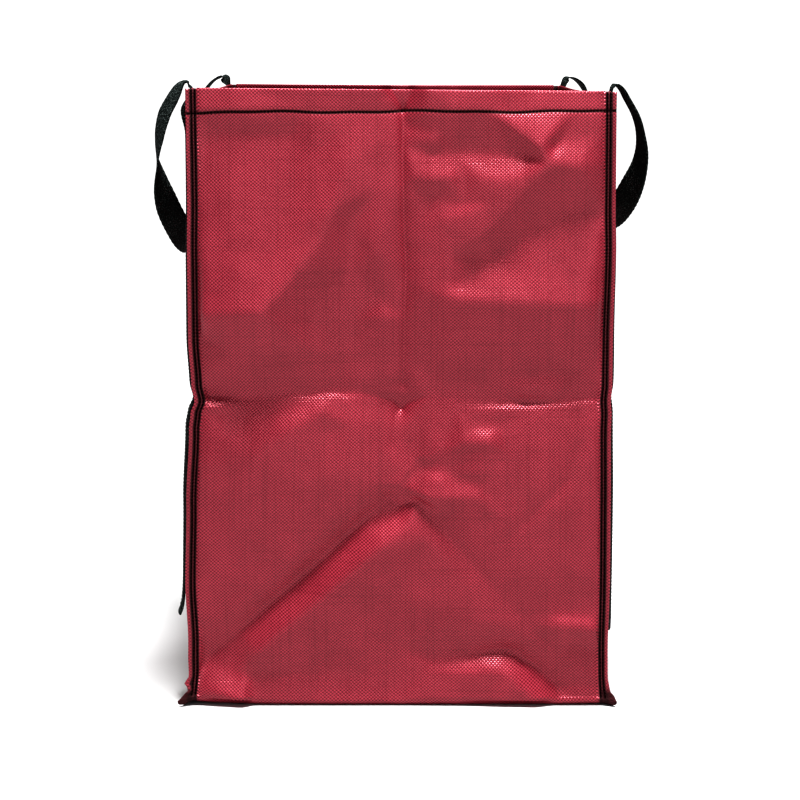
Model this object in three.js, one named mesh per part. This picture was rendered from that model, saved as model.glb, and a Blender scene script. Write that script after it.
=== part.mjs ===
// Heavy-duty storage bag: an open box of woven cloth with two webbing handles.
// Millimetres, +X to the right of the front panel, +Y from front to back, +Z up.
// The origin is the centre of the base, on the floor.
import * as THREE from 'three';

// Driving sizes
const height = 754;
const depth = 500;
const rimHalfWidth = 247;
const cloth = 1.2;
const finWidth = 9;
const layGap = 0.3;
const hemDepth = 25;
const hemExtra = 1.2;
const foldRadius = 8;
const grooveDip = 3;
const webbingWidth = 32;
const webbingThick = 2;
const webbingInset = 28;
const edgeInset = 12;

// Half width of the front panel at its two seams, up the bag
const frontSeam = [
  { z: 0, left: 256, right: 249 },
  { z: 46, left: 253, right: 247 },
  { z: 84, left: 252.5, right: 246.5 },
  { z: 150, left: 255, right: 247 },
  { z: 253, left: 252.5, right: 246.5 },
  { z: 346, left: 248, right: 245.5 },
  { z: 364, left: 246, right: 246 },
  { z: 380, left: 241, right: 245 },
  { z: 400, left: 244.5, right: 246.5 },
  { z: 456, left: 247.5, right: 246.5 },
  { z: 564, left: 247.5, right: 248.5 },
  { z: 618, left: 246.5, right: 247.5 },
  { z: 754, left: 247, right: 247 },
];

// The same at the back, where the open rim is drawn in
const backSeam = [
  { z: 0, left: 254, right: 252 },
  { z: 260, left: 252, right: 249 },
  { z: 380, left: 247, right: 242 },
  { z: 754, left: 237, right: 220 },
];

// How far each corner of the rim stands above or below the nominal height
const rimCorner = { frontLeft: 3, frontRight: -1, backLeft: 1.5, backRight: -0.5, sideSag: -4 };

// How far each corner of the base is drawn up off the floor
const baseLift = { frontLeft: 8, frontRight: 2.5, backLeft: 3, backRight: 5 };
const liftReach = 38;
const cornerFlare = 9;
const flareReach = 16;

// Creases of the front panel: lines from (x0, z0) to (x1, z1), sunk by deep,
// with a soft slope above and below, or left and right, of the line
const creases = [
  { x0: 2, z0: 770, x1: 2, z1: 392, deep: 5, above: 20, below: 20 },
  { x0: -262, z0: 382, x1: -60, z1: 384, deep: 4.5, above: 16, below: 24 },
  { x0: -60, z0: 384, x1: 2, z1: 372, deep: 4.5, above: 16, below: 24 },
  { x0: 2, z0: 372, x1: 262, z1: 381, deep: 4, above: 16, below: 24 },
  { x0: -262, z0: 13, x1: -17, z1: 262, deep: 6, above: 14, below: 46 },
  { x0: 19, z0: 260, x1: 246, z1: 29, deep: 4, above: 14, below: 46 },
];

// Broad swells of the cloth between the creases
const swells = [
  { x: -120, z: 560, wide: 110, tall: 130, out: 5 },
  { x: 120, z: 640, wide: 110, tall: 80, out: 5 },
  { x: 110, z: 500, wide: 90, tall: 70, out: 4 },
  { x: -130, z: 330, wide: 100, tall: 60, out: 4 },
  { x: 130, z: 320, wide: 100, tall: 70, out: 3 },
  { x: 0, z: 110, wide: 150, tall: 90, out: 6 },
];

// The back panel's folded-in centre line at the rim
const backFoldIn = 70;
const backFoldFrom = 250;

// Outward bulge of the side panels beside the seams and midway, up the bag
const sideBulge = [
  { z: 0, left: 0, right: 0, middle: 0 },
  { z: 60, left: 8, right: 7, middle: 5 },
  { z: 250, left: 10, right: 9, middle: 8 },
  { z: 340, left: 11, right: 9, middle: 3 },
  { z: 380, left: 10, right: 10, middle: -4 },
  { z: 420, left: 9, right: 9, middle: 1 },
  { z: 560, left: 8, right: 8, middle: 6 },
  { z: 700, left: 8, right: 8, middle: 5 },
  { z: 728, left: 17, right: 10, middle: 4 },
  { z: 754, left: 3, right: 5, middle: 2 },
];

// Rows up the walls and across the base; the lower rows meet the diagonal creases
const diagonalStep = 25.4;
const diagonalRows = Array.from({ length: 10 }, (_, k) => diagonalStep * (k + 1));
const wallRows = [
  foldRadius, ...diagonalRows,
  300, 340, 364, 380, 396, 430, 490, 560, 630, 690,
  height - hemDepth - 3, height - hemDepth, height,
];
const webbingColumns = [0, 1, 2].map((k) => webbingInset + (k - 1) * webbingWidth / 2);
const baseColumns = [
  edgeInset, ...webbingColumns.slice(1), 110, 180, 250, 320, 390,
  ...webbingColumns.slice(1).map((v) => depth - v).reverse(), depth - edgeInset,
];
const panelStep = 25;
const panelColumns = Array.from({ length: 19 }, (_, k) => (k - 9) * panelStep);

// Each handle: where its sewn ends stop, and how far the cut end at the front stands off the panel
const handles = {
  left: { frontEnd: 112, backEnd: 105, flare: 9 },
  right: { frontEnd: 93, backEnd: 110, flare: 1 },
};

// The free loop of each handle, from the front of the rim to the back: out from the seam line, along the bag,
// up from the rim, and the direction of the webbing's width as (wo, wa, wu)
const loops = {
  left: [
    { out: 5, along: -222, up: 4, wo: 0, wa: 1, wu: 0 },
    { out: 9, along: -222, up: 9, wo: 0.2, wa: 1, wu: 0 },
    { out: 17, along: -221, up: 4, wo: 0.45, wa: 0.9, wu: 0 },
    { out: 27, along: -219, up: -11, wo: 0.53, wa: 0.85, wu: 0 },
    { out: 38, along: -214, up: -31, wo: 0.53, wa: 0.85, wu: 0 },
    { out: 45, along: -208, up: -56, wo: 0.4, wa: 0.9, wu: 0 },
    { out: 49, along: -199, up: -84, wo: 0, wa: 1, wu: 0.1 },
    { out: 48, along: -184, up: -112, wo: -0.4, wa: 0.85, wu: 0.3 },
    { out: 43, along: -162, up: -140, wo: -0.7, wa: 0.5, wu: 0.5 },
    { out: 36, along: -126, up: -168, wo: -0.75, wa: 0.1, wu: 0.6 },
    { out: 31, along: -72, up: -192, wo: -0.75, wa: 0, wu: 0.65 },
    { out: 28, along: 0, up: -204, wo: -0.75, wa: 0, wu: 0.65 },
    { out: 30, along: 74, up: -194, wo: -0.75, wa: 0, wu: 0.65 },
    { out: 35, along: 130, up: -169, wo: -0.8, wa: -0.2, wu: 0.55 },
    { out: 42, along: 166, up: -139, wo: -0.7, wa: -0.5, wu: 0.45 },
    { out: 47, along: 190, up: -104, wo: -0.4, wa: -0.85, wu: 0.2 },
    { out: 49, along: 206, up: -66, wo: -0.1, wa: -1, wu: 0 },
    { out: 44, along: 216, up: -32, wo: 0, wa: -1, wu: 0 },
    { out: 33, along: 220, up: -4, wo: 0, wa: -1, wu: 0 },
    { out: 20, along: 221, up: 10, wo: 0, wa: -1, wu: 0 },
    { out: 10, along: 222, up: 15, wo: 0, wa: -1, wu: 0 },
    { out: 6, along: 222, up: 8, wo: 0, wa: -1, wu: 0 },
  ],
  right: [
    { out: 6, along: -222, up: 3, wo: 0, wa: 1, wu: 0 },
    { out: 10, along: -222, up: 7, wo: 0.1, wa: 1, wu: 0 },
    { out: 17, along: -221, up: 2, wo: 0.15, wa: 1, wu: 0 },
    { out: 25, along: -219, up: -11, wo: 0.15, wa: 1, wu: 0 },
    { out: 36, along: -215, up: -30, wo: 0.1, wa: 1, wu: 0 },
    { out: 43, along: -209, up: -50, wo: -0.1, wa: 1, wu: 0 },
    { out: 47, along: -200, up: -72, wo: -0.3, wa: 0.9, wu: 0.1 },
    { out: 46, along: -186, up: -96, wo: -0.45, wa: 0.85, wu: 0.25 },
    { out: 41, along: -165, up: -119, wo: -0.65, wa: 0.6, wu: 0.4 },
    { out: 35, along: -132, up: -142, wo: -0.75, wa: 0.2, wu: 0.55 },
    { out: 30, along: -78, up: -162, wo: -0.75, wa: 0, wu: 0.65 },
    { out: 27, along: 0, up: -172, wo: -0.7, wa: 0, wu: 0.7 },
    { out: 29, along: 80, up: -160, wo: -0.7, wa: 0, wu: 0.7 },
    { out: 34, along: 134, up: -138, wo: -0.75, wa: -0.2, wu: 0.55 },
    { out: 41, along: 168, up: -112, wo: -0.65, wa: -0.6, wu: 0.4 },
    { out: 46, along: 190, up: -82, wo: -0.35, wa: -0.9, wu: 0.2 },
    { out: 47, along: 206, up: -50, wo: 0, wa: -1, wu: 0 },
    { out: 41, along: 216, up: -22, wo: 0, wa: -1, wu: 0 },
    { out: 31, along: 220, up: 0, wo: 0, wa: -1, wu: 0 },
    { out: 20, along: 221, up: 9, wo: 0, wa: -1, wu: 0 },
    { out: 11, along: 222, up: 10, wo: 0, wa: -1, wu: 0 },
    { out: 7, along: 222, up: 5, wo: 0, wa: -1, wu: 0 },
  ],
};
const loopStepsPerPoint = 3;

const redCloth = new THREE.MeshStandardMaterial({ color: 0xa02c3c, roughness: 0.42, metalness: 0 });
const blackWebbing = new THREE.MeshStandardMaterial({ color: 0x0c1312, roughness: 0.8, metalness: 0 });

// Small helpers
const mix = (a, b, t) => a + (b - a) * t;
const clamp = (v, low, high) => Math.min(high, Math.max(low, v));
const smooth = (t) => {
  const c = clamp(t, 0, 1);
  return c * c * (3 - 2 * c);
};

function readTable(table, key, z) {
  const last = table.length - 1;
  if (z <= table[0].z) return table[0][key];
  if (z >= table[last].z) return table[last][key];
  const row = table.findIndex((r) => r.z > z);
  const low = table[row - 1];
  const high = table[row];
  return mix(low[key], high[key], smooth((z - low.z) / (high.z - low.z)));
}

const sideName = (x) => (x < 0 ? 'left' : 'right');

// Half width from the centre line to a seam at a place along the side
function seamAt(name, y, z) {
  return mix(readTable(frontSeam, name, z), readTable(backSeam, name, z), (y + depth / 2) / depth);
}

// Height above the floor of a wall row, with the rim's unevenness worked in
function raised(x, y, z) {
  const across = clamp(x / rimHalfWidth * 0.5 + 0.5, 0, 1);
  const along = (y + depth / 2) / depth;
  const front = mix(rimCorner.frontLeft, rimCorner.frontRight, across);
  const back = mix(rimCorner.backLeft, rimCorner.backRight, across);
  const sag = rimCorner.sideSag * 4 * along * (1 - along) * Math.abs(2 * across - 1);
  return z + (mix(front, back, along) + sag) * Math.pow(z / height, 3);
}

// How far the base's corner is drawn up at a place
function cornerLift(x, y, z) {
  const across = sideName(x) === 'left' ? 'Left' : 'Right';
  const end = y < 0 ? 'front' : 'back';
  const inX = (seamAt(sideName(x), y, 0) + finWidth - Math.abs(x)) / liftReach;
  const inY = (depth / 2 - Math.abs(y)) / liftReach;
  const inZ = z / liftReach;
  return baseLift[end + across] * Math.exp(-Math.max(inX, 0) - 1.6 * Math.max(inY, 0) - inZ);
}

// One crease's depth at a point of the panel
function creaseDepth(c, x, z) {
  const dx = c.x1 - c.x0;
  const dz = c.z1 - c.z0;
  const along = clamp(((x - c.x0) * dx + (z - c.z0) * dz) / (dx * dx + dz * dz), 0, 1);
  const ex = x - (c.x0 + dx * along);
  const ez = z - (c.z0 + dz * along);
  const soft = ez > 0 ? c.above : c.below;
  return c.deep * Math.exp(-Math.hypot(ex, ez) / soft);
}

// Relief of the front panel, outward positive, dying away at the seams; share is 0 at the centre line, 1 at a seam
function relief(x, z, share) {
  const edge = smooth((1 - share) * rimHalfWidth / 30);
  let out = 0;
  for (const s of swells) {
    out += s.out * Math.exp(-(((x - s.x) / s.wide) ** 2) - ((z - s.z) / s.tall) ** 2);
  }
  let sunk = 0;
  for (const c of creases) {
    sunk = Math.max(sunk, creaseDepth(c, x, z));
  }
  return (out - sunk) * edge * smooth(z / 20);
}

// Relief of the back panel: the same folds mirrored, and the centre line folded in towards the rim
function backRelief(x, z, share) {
  const up = clamp((z - backFoldFrom) / (height - backFoldFrom), 0, 1);
  return 0.8 * relief(-x, z, share) - backFoldIn * Math.pow(up, 1.3) * (1 - Math.pow(share, 1.4));
}

// The inside face of a side panel, as a distance from the centre line
function sideAt(name, y, z) {
  const inFromSeam = depth / 2 - Math.abs(y);
  const rise = 1 - Math.exp(-inFromSeam / 14);
  const middle = smooth((inFromSeam - 60) / 140);
  const bulge = mix(readTable(sideBulge, name, z), readTable(sideBulge, 'middle', z), middle);
  return seamAt(name, y, z) + bulge * rise;
}

// The line that the front, base and back run along, as stations with an outward normal
function edgeStations() {
  const half = depth / 2 - cloth / 2;
  const lie = cloth / 2;
  const round = foldRadius * 0.3;
  const slant = Math.SQRT1_2;
  const stations = [];
  for (let j = wallRows.length - 1; j >= 0; j -= 1) {
    stations.push({ y: -half, z: wallRows[j], ny: -1, nz: 0, wall: 'front', row: j + 1, column: 0 });
  }
  stations.push({ y: -half + round, z: lie + round, ny: -slant, nz: -slant, wall: 'fold', row: 0, column: 0 });
  baseColumns.forEach((v, i) => {
    stations.push({ y: v - depth / 2, z: lie, ny: 0, nz: -1, wall: 'base', row: 0, column: i + 1 });
  });
  const end = baseColumns.length + 1;
  stations.push({ y: half - round, z: lie + round, ny: slant, nz: -slant, wall: 'fold', row: 0, column: end });
  wallRows.forEach((z, j) => {
    stations.push({ y: half, z, ny: 1, nz: 0, wall: 'back', row: j + 1, column: end });
  });
  return stations;
}

// The middle of the cloth on a station: share is -1 to 1 across the panel, fin is 0 to 1 out along a fin
function stripPoint(station, side, share, fin) {
  const { y, z, ny } = station;
  const name = side < 0 ? 'left' : 'right';
  const nominal = station.wall === 'base' || station.wall === 'fold' ? 0 : z;
  const seam = seamAt(name, y, nominal);
  const toFold = Math.max(depth / 2 - Math.abs(y), z - cloth / 2);
  const near = Math.exp(-((toFold / flareReach) ** 2));
  const x = side * (seam * share + fin * (finWidth + cornerFlare * 0.6 * near));
  let out = 0;
  if (station.wall === 'front') out = relief(x, z, share);
  if (station.wall === 'back') out = backRelief(x, z, share);
  const fromSeam = (1 - share) * seam;
  const dip = Math.abs(ny) === 1 ? grooveDip * Math.exp(-((fromSeam / 5) ** 2)) * (1 - 0.7 * fin) : 0;
  const flare = Math.sign(y) * cornerFlare * near * fin;
  const rise = cornerLift(x, y, nominal) * (1 - near * fin);
  return new THREE.Vector3(x, y + ny * (out - dip) + flare, raised(x, y, z) + rise);
}

// A closed sheet from two faces of the same grid, with walls along its open edges
function shell(faceA, faceB, quads) {
  const positions = [];
  const push = (...points) => points.forEach((p) => positions.push(p.x, p.y, p.z));
  const edges = new Map();
  for (const [a, b, c, d, other] of quads) {
    const halves = other ? [[a, b, d], [b, c, d]] : [[a, b, c], [a, c, d]];
    for (const [p, q, r] of halves) {
      push(faceA[p], faceA[q], faceA[r]);
      push(faceB[p], faceB[r], faceB[q]);
    }
    [[a, b], [b, c], [c, d], [d, a]].forEach(([p, q]) => edges.set(`${p}_${q}`, [p, q]));
  }
  for (const [p, q] of edges.values()) {
    if (edges.has(`${q}_${p}`)) continue;
    push(faceA[q], faceA[p], faceB[p]);
    push(faceA[q], faceB[p], faceB[q]);
  }
  if (signedVolume(positions) < 0) {
    for (let i = 0; i < positions.length; i += 9) {
      for (let k = 0; k < 3; k += 1) {
        const swap = positions[i + 3 + k];
        positions[i + 3 + k] = positions[i + 6 + k];
        positions[i + 6 + k] = swap;
      }
    }
  }
  const geometry = new THREE.BufferGeometry();
  geometry.setAttribute('position', new THREE.Float32BufferAttribute(positions, 3));
  geometry.computeVertexNormals();
  return geometry;
}

function signedVolume(positions) {
  let volume = 0;
  const [a, b, c] = [new THREE.Vector3(), new THREE.Vector3(), new THREE.Vector3()];
  for (let i = 0; i < positions.length; i += 9) {
    a.fromArray(positions, i);
    b.fromArray(positions, i + 3);
    c.fromArray(positions, i + 6);
    volume += a.dot(b.cross(c));
  }
  return volume / 6;
}

const shifted = (p, station, amount) => new THREE.Vector3(p.x, p.y + station.ny * amount, p.z + station.nz * amount);

// Columns across the strip, from the left fin's edge to the right fin's edge
function stripColumns() {
  const finShares = [1, 0.5, 0];
  const nearSeam = 6;
  const columns = finShares.map((fin) => ({ side: -1, share: 1, fin }));
  columns.push({ side: -1, nearSeam });
  panelColumns.forEach((x) => columns.push({ side: x < 0 ? -1 : 1, x: Math.abs(x) }));
  columns.push({ side: 1, nearSeam });
  finShares.slice().reverse().forEach((fin) => columns.push({ side: 1, share: 1, fin }));
  return columns;
}

function columnShare(column, station) {
  if (column.fin !== undefined) return 1;
  const nominal = station.wall === 'base' || station.wall === 'fold' ? 0 : station.z;
  const seam = seamAt(column.side < 0 ? 'left' : 'right', station.y, nominal);
  if (column.nearSeam) return (seam - column.nearSeam) / seam;
  return column.x / (rimHalfWidth + 3);
}

// Front, base and back, cut as one strip
function makeStrip() {
  const stations = edgeStations();
  const columns = stripColumns();
  const outer = [];
  const inner = [];
  stations.forEach((station) => {
    const hem = station.z > height - hemDepth - 1;
    columns.forEach((column) => {
      const share = columnShare(column, station);
      const middle = stripPoint(station, column.side, share, column.fin ?? 0);
      const extra = hem && column.fin === undefined ? hemExtra : 0;
      outer.push(shifted(middle, station, cloth / 2));
      inner.push(shifted(middle, station, -cloth / 2 - extra));
    });
  });
  const quads = [];
  const across = columns.length;
  for (let s = 0; s < stations.length - 1; s += 1) {
    for (let c = 0; c < across - 1; c += 1) {
      const at = s * across + c;
      const leftHalf = c < (across - 1) / 2;
      const onBack = s > stations.length / 2;
      quads.push([at, at + 1, at + 1 + across, at + across, leftHalf !== onBack]);
    }
  }
  return shell(outer, inner, quads);
}

// A side panel: the flat web, and the allowance turned out along the strip's fin
function makeSide(side) {
  const name = side < 0 ? 'left' : 'right';
  const stations = edgeStations();
  const faceA = [];
  const faceB = [];
  const add = (a, b) => {
    faceA.push(a);
    faceB.push(b);
    return faceA.length - 1;
  };
  const seamNodes = [];
  const quads = [];
  const finShares = [0, 0.5, 1];
  const nodes = stations.map((station) => finShares.map((fin) => {
    const middle = stripPoint(station, side, 1, fin);
    const a = shifted(middle, station, -cloth / 2 - layGap);
    const b = shifted(middle, station, -cloth * 1.5 - layGap);
    if (fin === 0) b.x += side * cloth;
    return add(a, b);
  }));
  for (let s = 0; s < nodes.length - 1; s += 1) {
    for (let f = 0; f < finShares.length - 1; f += 1) {
      const onBack = s > stations.length / 2;
      quads.push([nodes[s][f], nodes[s][f + 1], nodes[s + 1][f + 1], nodes[s + 1][f], onBack]);
    }
  }
  stations.forEach((station, s) => {
    seamNodes[station.row] ??= [];
    seamNodes[station.row][station.column] = nodes[s][0];
  });
  const lastColumn = baseColumns.length + 1;
  const web = [seamNodes[0]];
  wallRows.forEach((z, j) => {
    const row = [seamNodes[j + 1][0]];
    baseColumns.forEach((v) => {
      const y = v - depth / 2;
      const x = side * sideAt(name, y, z);
      const hem = z > height - hemDepth - 1;
      const up = raised(x, y, z) + cornerLift(x, y, z);
      const extra = hem ? hemExtra : 0;
      row.push(add(
        new THREE.Vector3(x - side * extra, y, up),
        new THREE.Vector3(x + side * cloth, y, up),
      ));
    });
    row.push(seamNodes[j + 1][lastColumn]);
    web.push(row);
  });
  for (let j = 0; j < web.length - 1; j += 1) {
    for (let i = 0; i < lastColumn; i += 1) {
      quads.push([web[j][i], web[j][i + 1], web[j + 1][i + 1], web[j + 1][i], false]);
    }
  }
  return shell(faceA, faceB, quads);
}

// Sections of a handle's sewn stretch up or down a side panel, as three columns of the panel's own facets
function sewnSections(side, end, cutEnd, flare) {
  const name = side < 0 ? 'left' : 'right';
  const columns = webbingColumns.map((v) => (end < 0 ? v - depth / 2 : depth / 2 - v));
  const rows = [cutEnd, ...wallRows.filter((z) => z > cutEnd + 8)];
  const sections = rows.map((z) => columns.map((y) => {
    const lift = cloth + layGap * 2 + webbingThick / 2;
    const loose = flare * Math.exp(-(z - cutEnd) / 16);
    return new THREE.Vector3(sideAt(name, y, z) + lift + loose, y, raised(side * rimHalfWidth, y, z));
  }));
  return sections;
}

// Sections of the free loop
function loopSections(name) {
  const table = loops[name];
  const points = table.map((r) => new THREE.Vector3(
    seamAt(name, r.along, height) + r.out + cloth, r.along, height + r.up,
  ));
  const curve = new THREE.CatmullRomCurve3(points, false, 'centripetal');
  const steps = (table.length - 1) * loopStepsPerPoint;
  return Array.from({ length: steps + 1 }, (_, k) => {
    const t = k / steps;
    const at = Math.min(Math.floor(t * (table.length - 1)), table.length - 2);
    const between = t * (table.length - 1) - at;
    const a = table[at];
    const b = table[at + 1];
    const width = new THREE.Vector3(mix(a.wo, b.wo, between), mix(a.wa, b.wa, between), mix(a.wu, b.wu, between));
    const tangent = curve.getTangent(t);
    width.addScaledVector(tangent, -width.dot(tangent)).normalize();
    const centre = curve.getPoint(t);
    return [-1, 0, 1].map((k2) => centre.clone().addScaledVector(width, k2 * webbingWidth / 2));
  });
}

// A handle: one length of webbing, sewn up the panel, looped over the rim and sewn down again
function makeHandle(side) {
  const name = side < 0 ? 'left' : 'right';
  const { frontEnd, backEnd, flare } = handles[name];
  const front = sewnSections(side, -1, frontEnd, flare);
  const back = sewnSections(side, 1, backEnd, 0).reverse();
  const sections = [...front, ...loopSections(name), ...back];
  const faceA = [];
  const faceB = [];
  sections.forEach((section, s) => {
    const before = sections[Math.max(s - 1, 0)][1];
    const after = sections[Math.min(s + 1, sections.length - 1)][1];
    const tangent = after.clone().sub(before).normalize();
    const width = section[2].clone().sub(section[0]).normalize();
    const normal = width.clone().cross(tangent).normalize();
    section.forEach((p) => {
      faceA.push(p.clone().addScaledVector(normal, webbingThick / 2));
      faceB.push(p.clone().addScaledVector(normal, -webbingThick / 2));
    });
  });
  [...faceA, ...faceB].forEach((p) => {
    p.x *= side;
  });
  const quads = [];
  for (let s = 0; s < sections.length - 1; s += 1) {
    for (let c = 0; c < 2; c += 1) {
      const at = s * 3 + c;
      quads.push([at, at + 1, at + 4, at + 3, false]);
    }
  }
  return shell(faceA, faceB, quads);
}

function piece(name, geometry, material) {
  const mesh = new THREE.Mesh(geometry, material);
  mesh.name = name;
  return mesh;
}

const bag = new THREE.Group();
bag.add(piece('body_strip', makeStrip(), redCloth));
bag.add(piece('side_panel_left', makeSide(-1), redCloth));
bag.add(piece('side_panel_right', makeSide(1), redCloth));
bag.add(piece('handle_left', makeHandle(-1), blackWebbing));
bag.add(piece('handle_right', makeHandle(1), blackWebbing));

export default bag;
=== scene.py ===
"""Heavy-duty storage bag: an open box of coated woven cloth with two webbing handles."""

import functools
import math
import random

import bmesh
import bpy
import numpy as np
from bpy.props import FloatProperty, FloatVectorProperty, PointerProperty
from mathutils import Matrix, Vector
from mathutils.geometry import delaunay_2d_cdt


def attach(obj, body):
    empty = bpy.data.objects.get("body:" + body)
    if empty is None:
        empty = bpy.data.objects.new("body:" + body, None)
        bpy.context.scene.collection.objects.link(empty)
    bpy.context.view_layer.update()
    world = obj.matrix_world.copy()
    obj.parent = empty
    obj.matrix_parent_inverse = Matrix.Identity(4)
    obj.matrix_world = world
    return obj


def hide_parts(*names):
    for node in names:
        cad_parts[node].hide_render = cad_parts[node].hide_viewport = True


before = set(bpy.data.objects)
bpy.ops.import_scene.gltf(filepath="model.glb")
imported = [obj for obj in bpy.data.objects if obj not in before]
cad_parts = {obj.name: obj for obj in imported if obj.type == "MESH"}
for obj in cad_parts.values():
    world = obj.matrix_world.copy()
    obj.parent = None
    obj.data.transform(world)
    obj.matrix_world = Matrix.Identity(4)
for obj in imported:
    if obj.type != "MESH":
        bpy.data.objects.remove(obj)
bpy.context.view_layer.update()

bl_info = {
    "name": "Storage bag",
    "version": (1, 0, 0),
    "blender": (4, 5, 0),
    "location": "View3D > Sidebar > Storage Bag",
    "description": "Makes a large open storage bag of woven cloth with webbing handles",
    "category": "Add Mesh",
}

# Tables and cloth functions are in millimetres; a mesh gets its places in metres
MM = 0.001

# Sizes of the solids that the cloth follows
HEIGHT = 754.0
DEPTH = 500.0
RIM_HALF = 247.0
SOLID_CLOTH = 1.2
FIN_WIDTH = 9.0
CORNER_ROUND = 8.4
GROOVE_DIP = 3.0
GROOVE_SOFT = 5.0
CORNER_FLARE = 9.0
FLARE_REACH = 16.0
LIFT_REACH = 38.0
MIDDLE_OF_CLOTH = DEPTH / 2 - SOLID_CLOTH / 2
BASE_HALF = MIDDLE_OF_CLOTH - CORNER_ROUND
FLAT_HALF = 250.0
LIE = 0.35
FIN_WRAP = 1.35
HEM_UNDER = 1.6
WEBBING_OFF = 0.8
WALL_FROM = CORNER_ROUND + 0.6
WALL_TO = HEIGHT - 0.8
SIDES = ((-1, "left"), (1, "right"))

# Rows of stitches: out along the fin and in from the seam, off the webbing's middle line, and places on a fin's hem
SEAM_ROWS = ((2.1, 0), (0, 1.8))
WEBBING_ROWS = (-12.5, 12.5)
FIN_HEM = (1.5, 4.5, 7.8)
STITCH_SEED = 7
STITCH_LEAN = 0.10
STITCH_HIGH = 0.45

# Half width of the front panel at its seams: height, left, right
FRONT_SEAM = [
    (0, 256, 249), (46, 253, 247), (84, 252.5, 246.5), (150, 255, 247), (253, 252.5, 246.5),
    (346, 248, 245.5), (364, 246, 246), (380, 241, 245), (400, 244.5, 246.5), (456, 247.5, 246.5),
    (564, 247.5, 248.5), (618, 246.5, 247.5), (754, 247, 247),
]
BACK_SEAM = [(0, 254, 252), (260, 252, 249), (380, 247, 242), (754, 237, 220)]

# How far the rim's corners stand up, the side rims sag and the base's corners are lifted: left, right
RIM_CORNER = {"front": (3.0, -1.0), "back": (1.5, -0.5)}
RIM_SAG = -4.0
BASE_LIFT = {"front": (8.0, 2.5), "back": (3.0, 5.0)}

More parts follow.
